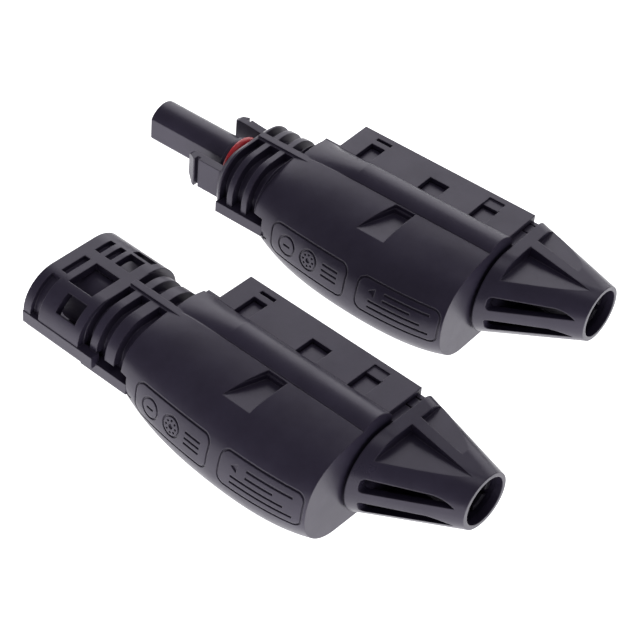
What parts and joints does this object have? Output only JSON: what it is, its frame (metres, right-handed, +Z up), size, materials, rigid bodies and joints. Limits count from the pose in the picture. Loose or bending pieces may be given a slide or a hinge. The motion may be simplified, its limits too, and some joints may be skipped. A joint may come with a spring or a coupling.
{
  "type": "solar cable connector pair",
  "caption": "Mating pair of single-core photovoltaic cable connectors, plug and socket halves, with ribbed necks, bulged bodies, clip-on side covers and tapered push-on rear caps.",
  "frame": {"origin": "centre of the footprint, on the surface that both halves lie on", "axes": "+X from the mating ends towards the cable ends, along the plug half; +Y from the socket half towards the plug half; +Z up"},
  "size_m": [0.1046, 0.0826, 0.0209],
  "materials": {
    "housing_plastic": "satin moulded",
    "cover_plastic": "satin moulded",
    "cap_plastic": "satin moulded",
    "basket_plastic": "matt moulded",
    "spring_steel": "stamped",
    "tinned_copper": "tin plated",
    "seal_rubber": "matt",
    "ring_rubber": "silicone sheen"
  },
  "bodies": {
    "socket_half": {"socket_side_cover": "cover_plastic", "socket_clamp_cage": "spring_steel", "socket_busbar": "tinned_copper", "socket_cable_seal": "seal_rubber", "socket_strain_basket": "basket_plastic", "socket_housing": "housing_plastic", "socket_contact": "tinned_copper", "socket_pin_tip": "cap_plastic"},
    "plug_half": {"plug_side_cover": "cover_plastic", "plug_clamp_cage": "spring_steel", "plug_busbar": "tinned_copper", "plug_cable_seal": "seal_rubber", "plug_strain_basket": "basket_plastic", "plug_housing": "housing_plastic", "plug_seal_ring": "ring_rubber", "plug_contact": "tinned_copper", "plug_contact_band": "spring_steel"},
    "plug_cap": {"plug_rear_cap": "cap_plastic"},
    "plug_leaf": {"plug_clamp_spring": "spring_steel"},
    "near_finger": {"plug_latch_near": "housing_plastic"},
    "far_finger": {"plug_latch_far": "housing_plastic"},
    "socket_cap": {"socket_rear_cap": "cap_plastic"},
    "socket_leaf": {"socket_clamp_spring": "spring_steel"}
  },
  "joints": [
    {"name": "plug_half_lift", "type": "slide", "parent": "socket_half", "child": "plug_half", "axis": [0, 0, 1], "range_m": [0, 0.04]},
    {"name": "plug_cap_pull", "type": "slide", "parent": "plug_half", "child": "plug_cap", "axis": [1, 0, 0], "range_m": [0, 0.012]},
    {"name": "socket_cap_pull", "type": "slide", "parent": "socket_half", "child": "socket_cap", "axis": [0.998, -0.0631, 0], "range_m": [0, 0.012]},
    {"name": "plug_clamp_leaf", "type": "hinge", "parent": "plug_half", "child": "plug_leaf", "pos_m": [-0.00078, 0.03388, 0.0128], "axis": [0, -1, 0], "range_deg": [0, 30], "stiffness_Nm_per_rad": 0.02, "springref_deg": -17.19},
    {"name": "socket_clamp_leaf", "type": "hinge", "parent": "socket_half", "child": "socket_leaf", "pos_m": [0.01032, -0.01537, 0.0128], "axis": [-0.0631, -0.998, 0], "range_deg": [0, 30], "stiffness_Nm_per_rad": 0.02, "springref_deg": -17.19},
    {"name": "near_finger_press", "type": "hinge", "parent": "plug_half", "child": "near_finger", "pos_m": [-0.03193, 0.01508, 0.0113], "axis": [0, 0, -1], "range_deg": [0, 5], "stiffness_Nm_per_rad": 0.05},
    {"name": "far_finger_press", "type": "hinge", "parent": "plug_half", "child": "far_finger", "pos_m": [-0.03193, 0.02908, 0.0113], "axis": [0, 0, 1], "range_deg": [0, 5], "stiffness_Nm_per_rad": 0.05}
  ]
}
